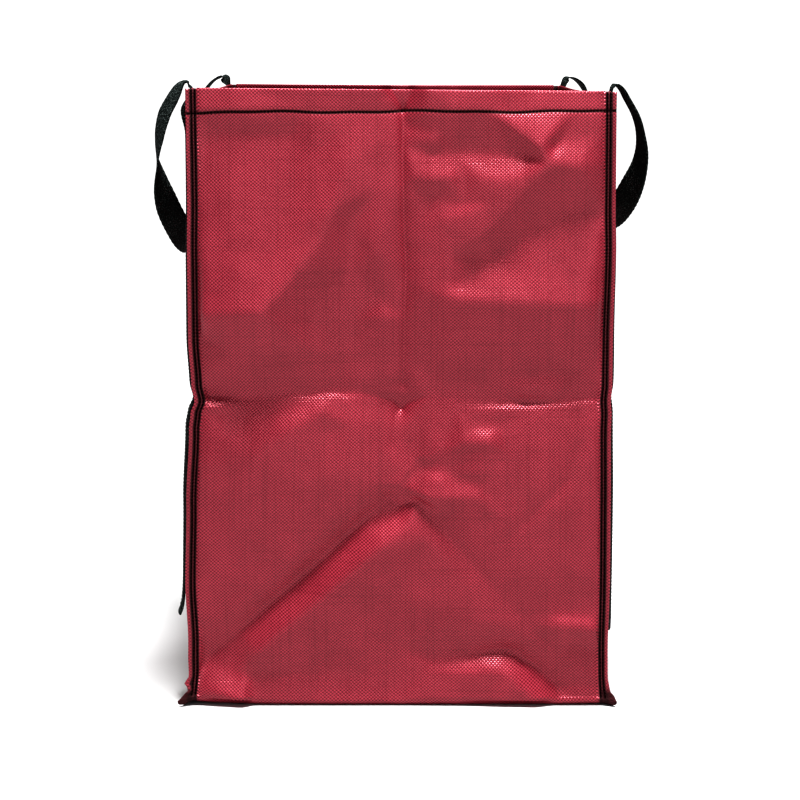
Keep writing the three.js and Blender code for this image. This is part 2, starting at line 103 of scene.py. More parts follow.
# Broad forms of the front panel as lines of places (x, z, out), with flat facets of cloth between them
FORMS = [
    # outline
    [(-266, 764, 0), (-200, 762, -1), (-110, 762, 0.5), (-30, 762, 1), (2, 762, -4), (30, 762, 1.5), (90, 762, 0),
     (160, 762, -4), (215, 762, -3), (266, 764, 0)],
    [(-266, 764, 0), (-266, 728, 0)], [(266, 764, 0), (266, 728, 0)],
    [(-266, 728, 0), (-266, 600, 0), (-266, 480, 2), (-266, 382, -3), (-266, 300, 1), (-266, 200, 1),
     (-266, 110, 0), (-266, -4, -3), (-190, -4, 1), (-100, -4, 0), (0, -4, 0), (90, -4, 1), (165, -4, 3),
     (200, -4, 1), (266, -4, -1), (266, 30, -1), (266, 150, 1), (266, 250, 1), (266, 382, -2.5), (266, 505, 2),
     (266, 610, 0), (266, 728, 0)],
    # hem
    [(-266, 728, 0), (-200, 729, 1), (-110, 729, 0.5), (-40, 729, 0.5), (2, 729, -2), (30, 729, 2.4),
     (70, 729, 3), (105, 729, 1.5), (160, 729, -0.5), (205, 729, 0), (266, 728, 0)],
    # upper left: a broad facet that leans back, with a ridge along its lower edge
    [(-266, 480, 2), (-236, 484, 8.5), (-200, 488, 12), (-168, 489, 13.4), (-150, 508, 11.6), (-120, 545, 9.4),
     (-95, 580, 7.5), (-80, 612, 7), (-64, 668, 5), (-74, 702, 2)],
    [(-236, 505, 7), (-200, 506, 10.4), (-162, 511, 11)],
    [(-236, 535, 5.4), (-195, 535, 8.4), (-137, 535, 9.2)],
    [(-236, 600, 1.6), (-200, 562, 5.8), (-140, 560, 7.0)],
    [(-236, 690, -2), (-210, 650, 0.6), (-130, 650, 1.8)],
    [(-105, 602, 6.6), (-105, 680, 1.6)], [(-210, 702, -2.4), (-130, 698, -1.4)],
    # dark hollow right of it
    [(-205, 440, 3), (-160, 440, 4), (-110, 440, 1.5), (-60, 432, -1.8)], [(-205, 402, -2), (-160, 402, -1)],
    [(-110, 500, 3.5), (-60, 480, -0.5)], [(-58, 600, 2.6), (-60, 540, 1.0)],
    # left of the middle crease
    [(-50, 700, 2.5), (-28, 690, 2.4), (-28, 640, 3.4), (-28, 560, 4.4), (-20, 504, 0.2), (-20, 484, 2.2),
     (-22, 462, 0.4), (-24, 430, -1.6)],
    # middle crease
    [(2, 762, -4), (2, 729, -2), (2, 690, 0.2), (3, 640, 2.2), (6, 540, 1.2), (4, 480, 0.4), (3, 430, -1.8),
     (2, 376, -5)],
    # upper right
    [(8, 710, -2), (25, 709, 0), (48, 706, 1)], [(11, 695, 0.5), (40, 694, 2)],
    [(30, 680, 0), (60, 683, -1.5), (120, 680, -1), (150, 676, 0), (168, 684, 6.5)],
    [(105, 729, 1.5), (168, 684, 6.5), (205, 729, 0)],
    [(18, 652, 3.8), (40, 648, 4.8), (58, 650, 4.2), (74, 654, 2), (90, 652, 4), (115, 648, 4.8), (142, 652, 4.5)],
    [(16, 638, 2.2), (40, 630, 1.6), (72, 617, 2.6)], [(22, 600, 2.5), (50, 600, 4.4), (110, 622, 5)],
    [(60, 560, 4), (92, 575, 5), (125, 610, 5.5), (150, 640, 5.5), (176, 667, 6.5), (212, 664, 6),
     (238, 668, 2.5)],
    [(180, 691, 1), (202, 695, 1), (232, 702, 1)],
    [(56, 522, 4), (70, 524, 2.5), (112, 556, -1), (160, 590, -2.5), (205, 612, -2.5), (242, 606, -1)],
    [(25, 560, 2.5), (28, 515, 3.5)],
    # ridge of the right facet, and the dark slope under it
    [(28, 497, 2.5), (56, 511, 5.5), (75, 506, 6.5), (120, 503, 7.5), (170, 503, 8), (216, 499, 8), (242, 503, 5),
     (266, 505, 2)],
    [(28, 450, 0), (60, 446, 1.5), (120, 440, 2), (190, 440, 2.5), (238, 440, 1)],
    [(60, 402, -2.5), (120, 404, -2.2), (148, 412, -1), (172, 414, -1)], [(150, 392, 0.2), (176, 392, 0)],
    [(215, 408, -2), (240, 410, -1)],
    # middle fold and the lip under it
    [(-266, 382, -3), (-230, 385, -5), (-195, 386, -3), (-150, 389, -2.4), (-116, 392, -3.2), (-86, 396, -3.8),
     (-55, 394, -2.8), (-20, 388, -3.4), (2, 376, -5), (30, 385, -2.4), (60, 382, -2.2), (96, 379, -3),
     (144, 380, -3.6), (192, 382, -2.6), (238, 385, -2.6), (266, 382, -2.5)],
    [(-240, 374, -1), (-222, 374, -0.8), (-195, 374, -2)],
    [(-168, 377, -1.8), (-112, 381, -1), (-86, 383, -0.6), (-58, 382, -1.4)],
    [(70, 372, -1.6), (96, 370, -0.9), (130, 370, 0), (157, 371, -0.6), (200, 374, -1.0), (242, 378, -1.5)],
    # left, under the fold
    [(-222, 358, -1), (-190, 359, -1.5), (-150, 366, -1)], [(-228, 340, 1), (-205, 338, 1.2), (-185, 336, 1.6)],
    [(-96, 369, 1.8), (-135, 346, 3.4), (-162, 334, 3.4)], [(-180, 312, 3.4), (-150, 302, 3)],
    [(-90, 345, 0.6), (-55, 350, 0)], [(-30, 355, -1.6), (-28, 320, -0.6)], [(-236, 240, 0.5), (-200, 255, 2)],
    [(-120, 280, 2.2), (-70, 300, 1.2)],
    # left leg of the triangle, its shoulder above and the bright slope below
    [(-266, -4, -3), (-236, 64, -5), (-200, 93, -4.8), (-167, 122, -5), (-97, 184, -5), (-50, 228, -4.5),
     (-17, 262, -3.4), (-5, 245, -3.6), (20, 258, -1.6), (62, 207, 0.4), (105, 161, 1.2), (157, 104, 1.2),
     (197, 67, 0), (240, 30, -1.5), (266, -4, -1)],
    [(-216, 108, -1.2), (-183, 137, -0.6), (-113, 200, 0), (-66, 245, 0), (-34, 278, 0)],
    [(-176, 69, 3), (-145, 98, 4), (-74, 159, 5.4), (-26, 202, 5.4), (6, 224, 3)],
    # inside the triangle
    [(32, 212, 2.4), (84, 150, 2)], [(-60, 90, 0.6), (0, 150, 2.0), (60, 113, 2.2), (110, 105, 2), (150, 84, 0.6)],
    [(-100, 45, -1.2), (-50, 40, -1.6), (0, 66, -1.4), (40, 60, -2.4)],
    [(40, 60, -2.4), (85, 63, -2.6), (128, 69, -3), (142, 65, -3.2), (167, 46, -3.2), (194, 22, -3), (206, 12, -2)],
    [(0, 25, -1), (44, 42, 0.4), (85, 42, 2.2), (114, 46, 3.4), (136, 37, 4.2), (150, 23, 4.8), (176, -4, 5)],
    # right of the triangle
    [(60, 240, 1.4), (100, 200, 2), (150, 150, 2.2), (185, 116, 1.2)],
    [(90, 353, -1), (118, 352, -0.8)], [(76, 332, 2.6), (104, 330, 3.4)], [(50, 313, -0.8), (68, 312, 0)],
    [(24, 296, -2), (48, 297, -0.8), (62, 290, -0.8)], [(28, 263, 3.4), (54, 264, 4)], [(72, 277, 1), (95, 278, 1.4)],
    [(74, 264, 3), (95, 264, 3.2)], [(0, 345, -3), (2, 300, -1), (0, 275, -0.5)],
    [(130, 320, 2), (180, 330, 1.4), (232, 345, 0.3)], [(122, 240, 2.8), (180, 250, 3), (238, 250, 1)],
    [(180, 182, 2.8), (238, 160, 0.8)], [(200, 117, 0), (232, 114, 0)], [(198, 98, 3.6), (240, 94, 3)],
    [(206, 80, -0.5), (240, 72, -2)],
    # bottom left corner
    [(-240, 50, -3), (-226, 47, -3), (-204, 38, -2)], [(-240, 22, 0.5), (-222, 14, 3), (-197, 6, 4.6)],
    [(-184, 6, 0), (-186, 38, -1.2)],
]
# What the panel's lean adds at a height
FORM_LEAN = [(0, 0), (50, -0.9), (300, 1.5), (350, 1.0), (382, 0), (754, 0)]
FORM_LEFT = -264
FORM_LOW = -3
FORM_STEP = 3.0
HEM_DIP = 1.4
HEM_SOFT = 2.2
FORM_HIGH = 2.0

# How far in from a seam and up from the base the forms, the creases and the side panels' folds reach full height
FORM_FADE, FORM_RISE = 12, 6
FOLD_FADE, FOLD_RISE = 9, 8
SIDE_FADE, SIDE_RISE = 20, 20

# Smaller swells that only the cloth has
SOFT_SWELLS = [
    (-231, 373, 20, 6, 3.0),
    (45, 322, 26, 18, 1.6),
    (104, 336, 24, 10, 2.2),
    (42, 283, 18, 10, 2.0),
    (84, 294, 30, 8, 1.2),
]

# Creases: points (x, z, out), soft on the left and on the right of the way they run
CREASES = [
    ([(-14, 757, -3.4), (3, 731, -2.4)], 5, 4),
    ([(16, 757, -3.4), (3, 731, -2.4)], 4, 5),
    ([(-24, 752, -0.3), (-19, 744, -0.9)], 3, 3),
    ([(1, 730, -2.4), (3, 600, -3.6), (6, 540, -3.6), (2, 400, -2.8)], 5, 2.6),
    ([(-250, 385, -4.0), (-222, 383, -2.6), (-168, 380, -0.6)], 9, 9),
    ([(-150, 388, -0.6), (-116, 387, -1.6), (-86, 391, -1.8), (-36, 389, -1.4)], 7, 9),
    ([(-36, 387, -1.0), (-19, 383, -2.4), (-8, 381, -2.2), (1, 370, -2.6)], 4, 9),
    ([(1, 370, -2.4), (10, 378, -2.2), (28, 384, -0.8)], 8, 2.5),
    ([(-29, 401, -0.6), (-13, 400, -1.0), (1, 402, -0.8)], 5, 4),
    ([(90, 373, -0.8), (144, 376, -1.9), (196, 377, -1.2)], 8, 6),
    ([(196, 378, -1.0), (212, 381, -1.3), (231, 382, -1.4), (246, 383, -1.4)], 7, 2.4),
    ([(171, 437, -1.0), (200, 425, -1.8), (222, 413, -0.8)], 8, 6),
    ([(225, 345, -0.8), (205, 285, -1.8), (160, 240, -1.8), (124, 207, -0.8)], 5, 9),
    ([(-7, 364, -1.1), (-10, 323, -0.9)], 2.5, 3.5),
    ([(21, 358, -1.1), (22, 319, -1.1)], 3.5, 2.5),
    ([(22, 319, 0.7), (23, 315, 1.1), (29, 314, 1.1), (34, 310, 1.2), (46, 323, 0.7)], 3, 3),
    ([(18, 310, 1.0), (-4, 279, 1.1)], 4, 3),
    ([(-17, 262, -1.0), (-1, 252, -2.4), (21, 260, -1.0)], 4, 3),
    ([(-17, 262, -1.6), (-97, 184, -1.6), (-167, 122, -1.4), (-234, 64, -1.2)], 9, 3),
    ([(21, 258, -1.2), (65, 206, -1.0), (105, 161, -0.7), (157, 104, -0.6), (197, 67, -0.7)], 4, 5),
    ([(30, 52, -0.8), (85, 61, -2.4), (130, 68, -3.2), (167, 46, -3.2), (198, 18, -2.4)], 9, 12),
    ([(190, 24, -1.6), (240, 22, -1.4)], 6, 5),
    ([(196, 106, 2.0), (220, 105, 2.6), (245, 96, 2.4)], 9, 9),
    ([(-1, 75, -0.7), (108, 67, -0.9), (166, 75, -0.7)], 3, 3),
    ([(-193, 36, 2.2), (-188, 0, 3.4)], 3, 26),
    ([(-263, 13, -2.2), (-251, 41, -2.2), (-232, 65, -1.2)], 4, 4),
    ([(-253, 109, -1.2), (-233, 90, -1.2), (-227, 70, -0.8)], 3, 3),
]

# The back panel: its share of the front's forms, and how far in its middle folds at the rim and from what height
BACK_SHARE = 0.7
BACK_FOLD_IN = 70.0
BACK_FOLD_FROM = 250.0

# Outward bulge of the side panels, which rises over BULGE_RISE from a seam and passes into the one given for
# midway between two distances from it: height, left, right, midway
BULGE_RISE = 14
BULGE_MIDWAY = (60, 200)
SIDE_BULGE = [
    (0, 0, 0, 0), (60, 9, 9, 5), (110, 13, 12, 6), (250, 14.5, 13, 8), (340, 15, 13, 3), (380, 13, 12.5, -4),
    (420, 13, 12.5, 1), (560, 12.5, 12, 6), (700, 12, 11.5, 5), (728, 17.5, 12, 4), (754, 3, 5, 2),
]

# Folds of the side panels: points (y, z, out), soft on each hand
SIDE_CREASES = [
    ([(0, 754, -1.5), (4, 560, -2.5), (-2, 390, -2.0)], 12, 12),
    ([(-240, 383, -1.5), (-110, 388, -2.4), (0, 378, -2.6), (120, 384, -2.4), (240, 380, -1.5)], 9, 14),
    ([(-2, 378, -2.0), (-8, 250, -1.2)], 9, 9),
    ([(-240, 18, -2.0), (-6, 252, -3.2)], 9, 26),
    ([(-6, 252, -3.2), (240, 16, -2.2)], 9, 26),
    ([(-150, 690, -0.8), (-70, 610, -1.6), (-30, 520, -0.6)], 12, 9),
    ([(60, 640, -1.0), (140, 560, -1.8), (190, 450, -0.8)], 9, 14),
]

# How much wider than its nominal width the front fins are near the base: height, left, right
FIN_SPREAD = [
    (0, 3, 1), (6, 5, 3), (12, 0, 2), (17, -4, -1), (25, 3, -1), (33, -1, -1.5), (60, 0, -1.5),
    (130, 0, -0.5), (160, 0, 0),
]

# Each handle: lower end at the front, lower end at the back, how far the front's cut end stands off
HANDLES = {"left": (112, 105, 9.0), "right": (93, 110, 1.0)}
WEBBING_INSET = 28.0

# Free loop of each handle from the front of the rim to the back:
# out from the seam, along the bag, up from the rim, and the way its width runs (out, along, up)
LOOPS = {
    "left": [
        (5, -222, 4, 0, 1, 0), (9, -222, 9, 0.2, 1, 0), (17, -221, 4, 0.45, 0.9, 0),
        (27, -219, -11, 0.53, 0.85, 0), (38, -214, -31, 0.53, 0.85, 0), (45, -208, -56, 0.4, 0.9, 0),
        (49, -199, -84, 0.14, 1, 0.05), (48, -184, -112, -0.34, 0.85, 0.3), (43, -162, -140, -0.7, 0.5, 0.5),
        (36, -126, -168, -0.75, 0.1, 0.6), (31, -72, -192, -0.75, 0, 0.65), (28, 0, -204, -0.75, 0, 0.65),
        (30, 74, -194, -0.75, 0, 0.65), (35, 130, -169, -0.8, -0.2, 0.55), (42, 166, -139, -0.7, -0.5, 0.45),
        (47, 190, -104, -0.4, -0.85, 0.2), (49, 206, -66, -0.1, -1, 0), (44, 216, -32, 0.05, -1, 0),
        (33, 220, -4, 0.05, -1, 0), (20, 221, 9, 0.06, -1, 0), (10, 222, 12, 0.30, -1, 0), (6, 222, 7, 0.40, -1, 0),
    ],
    "right": [
        (6, -222, 3, 0, 1, 0), (10, -222, 7, -0.08, 1, 0), (17, -221, 2, -0.12, 1, 0),
        (25, -219, -11, -0.15, 1, 0), (36, -215, -30, -0.17, 1, 0), (43, -209, -50, -0.18, 1, 0),
        (47, -200, -72, -0.3, 0.9, 0.1), (46, -186, -96, -0.45, 0.85, 0.25), (41, -165, -119, -0.65, 0.6, 0.4),
        (35, -132, -142, -0.75, 0.2, 0.55), (30, -78, -162, -0.75, 0, 0.65), (27, 0, -172, -0.7, 0, 0.7),
        (29, 80, -160, -0.7, 0, 0.7), (34, 134, -138, -0.75, -0.2, 0.55), (41, 168, -112, -0.65, -0.6, 0.4),
        (46, 190, -82, -0.35, -0.9, 0.2), (47, 206, -50, 0, -1, 0), (41, 216, -22, 0, -1, 0),
        (31, 220, 0, 0.16, -1, 0), (20, 221, 9, 0.16, -1, 0), (11, 222, 10, 0.22, -1, 0), (7, 222, 5, 0.22, -1, 0),
    ],
}


def length(name, description, default, low, high):
    return FloatProperty(
        name=name, description=description, default=default, min=low, max=high, unit="LENGTH", precision=4)


def colour(name, description, default):
    return FloatVectorProperty(
        name=name, description=description, default=default, size=3, min=0, max=1, subtype="COLOR")


class BagSizes(bpy.types.PropertyGroup):
    cloth: length("Cloth", "Thickness of the coated woven cloth", 0.0006, 0.0003, 0.001)
    hem: length("Hem", "Depth of the hem turned in at the rim", 0.025, 0.015, 0.04)
    tape_across: length("Tape across", "Width of an upright tape of the weave", 0.0022, 0.001, 0.005)
    tape_up: length("Tape up", "Width of a level tape of the weave", 0.0020, 0.001, 0.005)
    webbing_width: length("Webbing width", "Width of the handles' webbing", 0.032, 0.02, 0.05)
    webbing_thick: length("Webbing thickness", "Thickness of the handles' webbing", 0.0016, 0.001, 0.003)
    stitch: length("Stitch", "Length of a stitch", 0.0042, 0.002, 0.008)
    thread: length("Thread", "Width of a stitch as it lies on the cloth", 0.0022, 0.0008, 0.003)


class BagColours(bpy.types.PropertyGroup):
    # cloth and cloth_shade_and_tone are a lit and a shaded copy of the red: the weave mixes them into painted sheen
    # on the tapes, painted shade where they dive under one another, and the cloth's own uneven tone
    cloth: colour("Cloth", "Red of the cloth where a tape faces the light", (0.40, 0.045, 0.073))
    cloth_shade_and_tone: colour(
        "Cloth between tapes", "Darker red where the tapes dive under one another", (0.060, 0.0024, 0.006))
    # painted shade: the near-black red painted into the seam grooves, onto the fins, along the hem line and at the
    # knots
    groove_shade: colour("Groove", "Red in the stitched groove beside each seam", (0.022, 0.0008, 0.002))
    webbing: colour("Webbing", "Black of the webbing", (0.0028, 0.0052, 0.0046))
    # painted glints: grey flecks painted where the webbing's yarns catch the light
    webbing_glint: colour(
        "Webbing fleck", "Grey flecks where the webbing's yarns catch the light", (0.105, 0.128, 0.122))
    thread: colour("Thread", "Near-black of the sewing thread", (0.004, 0.0004, 0.0007))
    floor: colour("Floor", "Pale floor", (0.40, 0.40, 0.40))


def sizes():
    return bpy.context.scene.bag_sizes


def smooth(t):
    t = np.clip(t, 0.0, 1.0)
    return t * t * (3 - 2 * t)


def mix(a, b, t):
    return a + (b - a) * t


def read_table(table, column, z):
    """A table's column at a height, eased from row to row."""
    z = np.asarray(z, float)
    heights, values = np.array(table, float)[:, [0, column]].T
    at = np.clip(np.searchsorted(heights, z, side="right") - 1, 0, len(heights) - 2)
    return mix(values[at], values[at + 1], smooth((z - heights[at]) / (heights[at + 1] - heights[at])))


def by_side(table, side, z):
    """A table with a column for the left and one for the right."""
    return np.where(np.asarray(side) < 0, read_table(table, 1, z), read_table(table, 2, z))


def seam_at(side, y, z):
    """Distance of a seam from the centre line."""
    return mix(by_side(FRONT_SEAM, side, z), by_side(BACK_SEAM, side, z), (y + DEPTH / 2) / DEPTH)


def raised(x, y, z):
    """Height with the rim's unevenness worked in."""
    across = np.clip(x / RIM_HALF * 0.5 + 0.5, 0, 1)
    along = (y + DEPTH / 2) / DEPTH
    front, back = (mix(*RIM_CORNER[end], across) for end in ("front", "back"))
    sag = RIM_SAG * 4 * along * (1 - along) * np.abs(2 * across - 1)
    return z + (mix(front, back, along) + sag) * np.power(np.clip(z, 0, None) / HEIGHT, 3)


def corner_lift(x, y, z):
    """How far the base's corner is drawn up off the floor."""
    front, back = (np.where(x < 0, *BASE_LIFT[end]) for end in ("front", "back"))
    in_x = (seam_at(x, y, 0 * z) + FIN_WIDTH - np.abs(x)) / LIFT_REACH
    in_y = (DEPTH / 2 - np.abs(y)) / LIFT_REACH
    fade = np.exp(-np.clip(in_x, 0, None) - 1.6 * np.clip(in_y, 0, None) - z / LIFT_REACH)
    return np.where(y < 0, front, back) * fade


def crease_field(x, z, crease, tip=1.0):
    """Height that one listed crease adds."""
    points, soft_left, soft_right = crease
    out = np.zeros_like(x)
    for (x0, z0, out0), (x1, z1, out1) in zip(points, points[1:]):
        dx, dz = x1 - x0, z1 - z0
        long = math.hypot(dx, dz)
        along = np.clip(((x - x0) * dx + (z - z0) * dz) / long**2, 0, 1)
        away = np.hypot(x - (x0 + dx * along), z - (z0 + dz * along))
        hand = (dx * (z - z0) - dz * (x - x0)) / long
        left = 0.5 + 0.5 * np.clip(hand / np.maximum(away, 1e-6), -1, 1)
        soft = mix(soft_right, soft_left, left)
        one = mix(out0, out1, along) * np.exp(-(np.sqrt(away**2 + tip**2) - tip) / soft)
        out = np.where(np.abs(one) > np.abs(out), one, out)
    return out


@functools.cache
def form_raster():
    """Height of the broad forms on a raster, with the edges between facets softened."""
    places = list(dict.fromkeys(place for line in FORMS for place in line))
    edges = [(places.index(a), places.index(b)) for line in FORMS for a, b in zip(line, line[1:])]
    made = delaunay_2d_cdt([Vector(place[:2]) for place in places], edges, [], 0, 0.001)
    if len(made[0]) != len(places):
        raise RuntimeError("lines of FORMS cross or lie on one another")
    corners = [(made[0][k], places[source[0]][2]) for k, source in enumerate(made[3])]
    x, z = np.meshgrid(np.arange(FORM_LEFT, 265, FORM_STEP), np.arange(FORM_LOW, 763, FORM_STEP))
    high = np.zeros_like(x)
    for face in made[2]:
        (a, ha), (b, hb), (c, hc) = (corners[k] for k in face)
        whole = (b - a).cross(c - a)
        to_b = ((x - a.x) * (c.y - a.y) - (z - a.y) * (c.x - a.x)) / whole
        to_c = ((b.x - a.x) * (z - a.y) - (b.y - a.y) * (x - a.x)) / whole
        inside = (to_b >= -1e-6) & (to_c >= -1e-6) & (to_b + to_c <= 1 + 1e-6)
        high = np.where(inside, ha + (hb - ha) * to_b + (hc - ha) * to_c, high)
    for _ in range(4):  # up and across in turn, twice
        wide = np.pad(high, ((1, 1), (0, 0)), mode="edge")
        high = (0.25 * wide[:-2] + 0.5 * wide[1:-1] + 0.25 * wide[2:]).T
    return high


def form_field(x, z):
    """Height of the broad forms at places on the front panel."""
    raster = form_raster()
    column = np.clip((x - FORM_LEFT) / FORM_STEP, 0, raster.shape[1] - 1.001)
    row = np.clip((z - FORM_LOW) / FORM_STEP, 0, raster.shape[0] - 1.001)
    i, j = row.astype(int), column.astype(int)
    lower, upper = (mix(raster[k, j], raster[k, j + 1], column - j) for k in (i, i + 1))
    return mix(lower, upper, row - i) + read_table(FORM_LEAN, 1, z)


def relief(x, z, share):
    """Height of the front panel's broad forms, dying away at the seams."""
    return FORM_HIGH * form_field(x, z) * smooth((1 - share) * RIM_HALF / FORM_FADE) * smooth(z / FORM_RISE)


def hem_level(end, x):
    """Height of the hem's line, whose depth is uneven along the front."""
    level = HEIGHT - sizes().hem / MM + 0 * x
    if end > 0:
        return level
    across = np.clip(x / RIM_HALF * 0.5 + 0.5, 0, 1)
    wave = 0.9 * np.sin(x / 31.0 + 0.6) + 0.5 * np.sin(x / 12.5)
    return level + 0.8 - 4.4 * np.power(1 - across, 1.4) + wave


def fine_relief(x, z, share):
    """Height of the cloth's own small folds on the front panel."""
    out = sum(high * np.exp(-(((x - sx) / wide) ** 2) - ((z - sz) / tall) ** 2)
              for sx, sz, wide, tall, high in SOFT_SWELLS)
    out = out + sum(crease_field(x, z, crease) for crease in CREASES)
    out = out * smooth((1 - share) * RIM_HALF / FOLD_FADE) * smooth(z / FOLD_RISE)
    return out - HEM_DIP * np.exp(-np.abs(z - hem_level(-1, x)) / HEM_SOFT)


def back_relief(x, z, share):
    """The back panel: the same forms mirrored, and the middle folded in towards the rim."""
    up = np.clip((z - BACK_FOLD_FROM) / (HEIGHT - BACK_FOLD_FROM), 0, 1)
    return BACK_SHARE * relief(-x, z, share) - BACK_FOLD_IN * np.power(up, 1.3) * (1 - np.power(share, 1.4))


def side_at(side, y, z):
    """Inside face of a side panel's solid, as a distance from the centre line."""
    in_from_seam = np.clip(DEPTH / 2 - np.abs(y), 0, None)
    rise = 1 - np.exp(-in_from_seam / BULGE_RISE)
    nearest, farthest = BULGE_MIDWAY
    midway = smooth((in_from_seam - nearest) / (farthest - nearest))
    return seam_at(side, y, z) + mix(by_side(SIDE_BULGE, side, z), read_table(SIDE_BULGE, 3, z), midway) * rise


def side_relief(side, y, z):
    """Height of a side panel's folds."""
    out = np.zeros_like(y)
    for points, left, right in SIDE_CREASES:
        shifted = [(side * py, pz, high) for py, pz, high in points]
        out = out + crease_field(y, z, (shifted, left, right), tip=2.0)
    return out * smooth((DEPTH / 2 - np.abs(y) - 3) / SIDE_FADE) * smooth((z - 6) / SIDE_RISE)


def side_places(side, y, z):
    """Middle of a side panel's cloth away from its seams, at places y along and z up."""
    x = side * (side_at(side, y, z) + SOLID_CLOTH / 2 + side_relief(side, y, z))
    return np.stack([x, y, raised(x, y, z) + corner_lift(x, y, z)], axis=-1)


def spread(low, high, step):
    """Evenly spaced values from low to high, about a step apart."""
    return list(np.linspace(low, high, max(1, round(abs(high - low) / step)) + 1))


def run(*stretches):
    """One list of rising values from stretches (low, high, step)."""
    values = []
    for stretch in stretches:
        values += spread(*stretch)[1 if values else 0:]
    return values


# A row of the strip is its place y, z in the side view, its outward normal in y, z, its push of the relief
# (-1 front, 1 back), its height for the tables, and 1 where the cloth is turned in


def wall(end, heights):
    """Rows of a wall at heights; end is -1 at the front and 1 at the back."""
    return [(end * MIDDLE_OF_CLOTH, z, end, 0, end, z, 0) for z in heights]


def hemmed_wall(end, heights, hem, arc):
    """Rows from the edge of the turned-in hem over the rim and down one wall."""
    radius = HEM_UNDER / 2
    inner = end * (MIDDLE_OF_CLOTH - HEM_UNDER)
    rows = [(inner, z, end, 0, end, z, 1) for z in spread(HEIGHT - hem - 6, HEIGHT - radius, 4)]
    for turn in (math.pi * k / arc for k in range(1, arc)):
        y = end * (MIDDLE_OF_CLOTH - radius - radius * math.cos(turn))
        rows.append((y, HEIGHT - radius + radius * math.sin(turn), end, 0, end, HEIGHT, 1))
    return rows + wall(end, heights[::-1])


def base_rows(turns, ys):
    """Rows round the front's fold, along the base at ys and round the back's fold."""
    angles = [math.pi / 2 * k / turns for k in range(1, turns)]
    front, back = (
        [(end * (BASE_HALF + CORNER_ROUND * math.cos(turn)), LIE + CORNER_ROUND * (1 - math.sin(turn)),
          end * math.cos(turn), -math.sin(turn), 0, 0, 0) for turn in order]
        for end, order in ((-1, angles), (1, angles[::-1])))
    return front + [(y, LIE, 0, -1, 0, 0, 0) for y in ys] + back


def strip_rows(hem):
    """Rows of the strip from the front's turned-in hem round the base to the back's."""
    line = HEIGHT - hem
    front = run(
        (WALL_FROM, 20, 4), (20, 245, 4.4), (245, 270, 2.5), (270, 360, 3.6), (360, 392, 2.0),
        (392, 716, 4.7), (716, line - 6, 3), (line - 6, line + 3, 1.0), (line + 3, WALL_TO, 2.6))
    back = run(
        (WALL_FROM, 20, 4), (20, 370, 12), (370, 394, 4), (394, 716, 12), (716, line - 3, 3.5),
        (line - 3, line + 3, 1.5), (line + 3, WALL_TO, 3.8))
    near = BASE_HALF - 24
    ys = run((-BASE_HALF, -near, 6), (-near, near, 30), (near, BASE_HALF, 6))
    rows = hemmed_wall(-1, front, hem, 4) + base_rows(5, ys) + hemmed_wall(1, back, hem, 3)[::-1]
    return np.array(rows, float)


def strip_columns():
    """Side, distance in from the seam, place across, way out along the fin and way back behind it, for each
    column of the strip; a distance or place that a column doesn't go by is NaN."""
    none = math.nan
    half = [(none, none, out, 2 * FIN_WRAP) for out in (4.6, 6.2)]
    for turn in (math.pi * (1 - k / 5) for k in range(6)):
        half.append((none, none, FIN_WIDTH + FIN_WRAP * (math.sin(turn) - 1), FIN_WRAP * (1 - math.cos(turn))))
    half += [(none, none, out, 0) for out in (5.8, 4.0, 2.4, 1.1)]
    half += [(near, none, 0, 0) for near in (0.0, 1.0, 2.0, 3.2, 4.6, 6.5, 9.0, 12.5)]
    half += [(none, x, 0, 0) for x in reversed(run((28, 232.5, 4.76)))]
    middle = run((-28, -12, 4), (-12, 12, 2), (12, 28, 4))[1:-1]
    columns = [(-1, *c) for c in half] + [(-1 if x < 0 else 1, none, abs(x), 0, 0) for x in middle]
    return np.array(columns + [(1, *c) for c in reversed(half)]).T[:, None, :]


def strip_places(rows, side, share, out, back):
    """Places of the strip's middle surface, and how far in from the seam each is."""
    y0, z0, ny, nz, push, nominal, side, share, out, back = np.broadcast_arrays(
        *rows.T[:6, :, None], side, share, out, back)
    seam = seam_at(side, y0, nominal)
    fin = np.clip(out / FIN_WIDTH, 0, 1)
    to_fold = np.maximum(DEPTH / 2 - np.abs(y0), z0 - SOLID_CLOTH / 2)
    near = np.exp(-((to_fold / FLARE_REACH) ** 2))
    knot = np.where(ny < -0.5, by_side(FIN_SPREAD, side, z0), 0)
    x = side * (seam * share + out * (1 + 0.6 * near) + knot * fin)
    front = relief(x, nominal, share) + fine_relief(x, nominal, share)
    behind = back_relief(x, nominal, share) + 0.5 * fine_relief(-x, nominal, share)
    forms = np.where(push < 0, front, np.where(push > 0, behind, 0))
    from_seam = (1 - share) * seam
    dip = GROOVE_DIP * np.exp(-((from_seam / GROOVE_SOFT) ** 2)) * (1 - 0.7 * fin) * np.abs(push)
    flare = np.sign(y0) * CORNER_FLARE * near * fin
    y = y0 + push * (forms - dip) + flare - ny * back
    z = raised(x, y0, z0) + corner_lift(x, y0, nominal) * (1 - near * fin) - nz * back
    return np.stack([x, y, z], axis=-1), from_seam - out


def lengths_along(places):
    """Length of a line of places from its start to each."""
    steps = np.linalg.norm(np.diff(places, axis=0), axis=1)
    return np.concatenate([[0], np.cumsum(steps)])


def blank(*marks):
    """An empty bmesh whose vertices carry numbers: the flat place in metres, and any other marks."""
    bm = bmesh.new()
    for name in ("flat_u", "flat_v", *marks):
        bm.verts.layers.float.new(name)
    return bm


def grid(bm, rows, columns):
    """A grid made by the operator, as an array of its vertices."""
    made = bmesh.ops.create_grid(bm, x_segments=columns - 1, y_segments=rows - 1, size=1)
    sheet = np.empty((rows, columns), dtype=object)
    for vert in made["verts"]:
        sheet[round((vert.co.y + 1) / 2 * (rows - 1)), round((vert.co.x + 1) / 2 * (columns - 1))] = vert
    return sheet


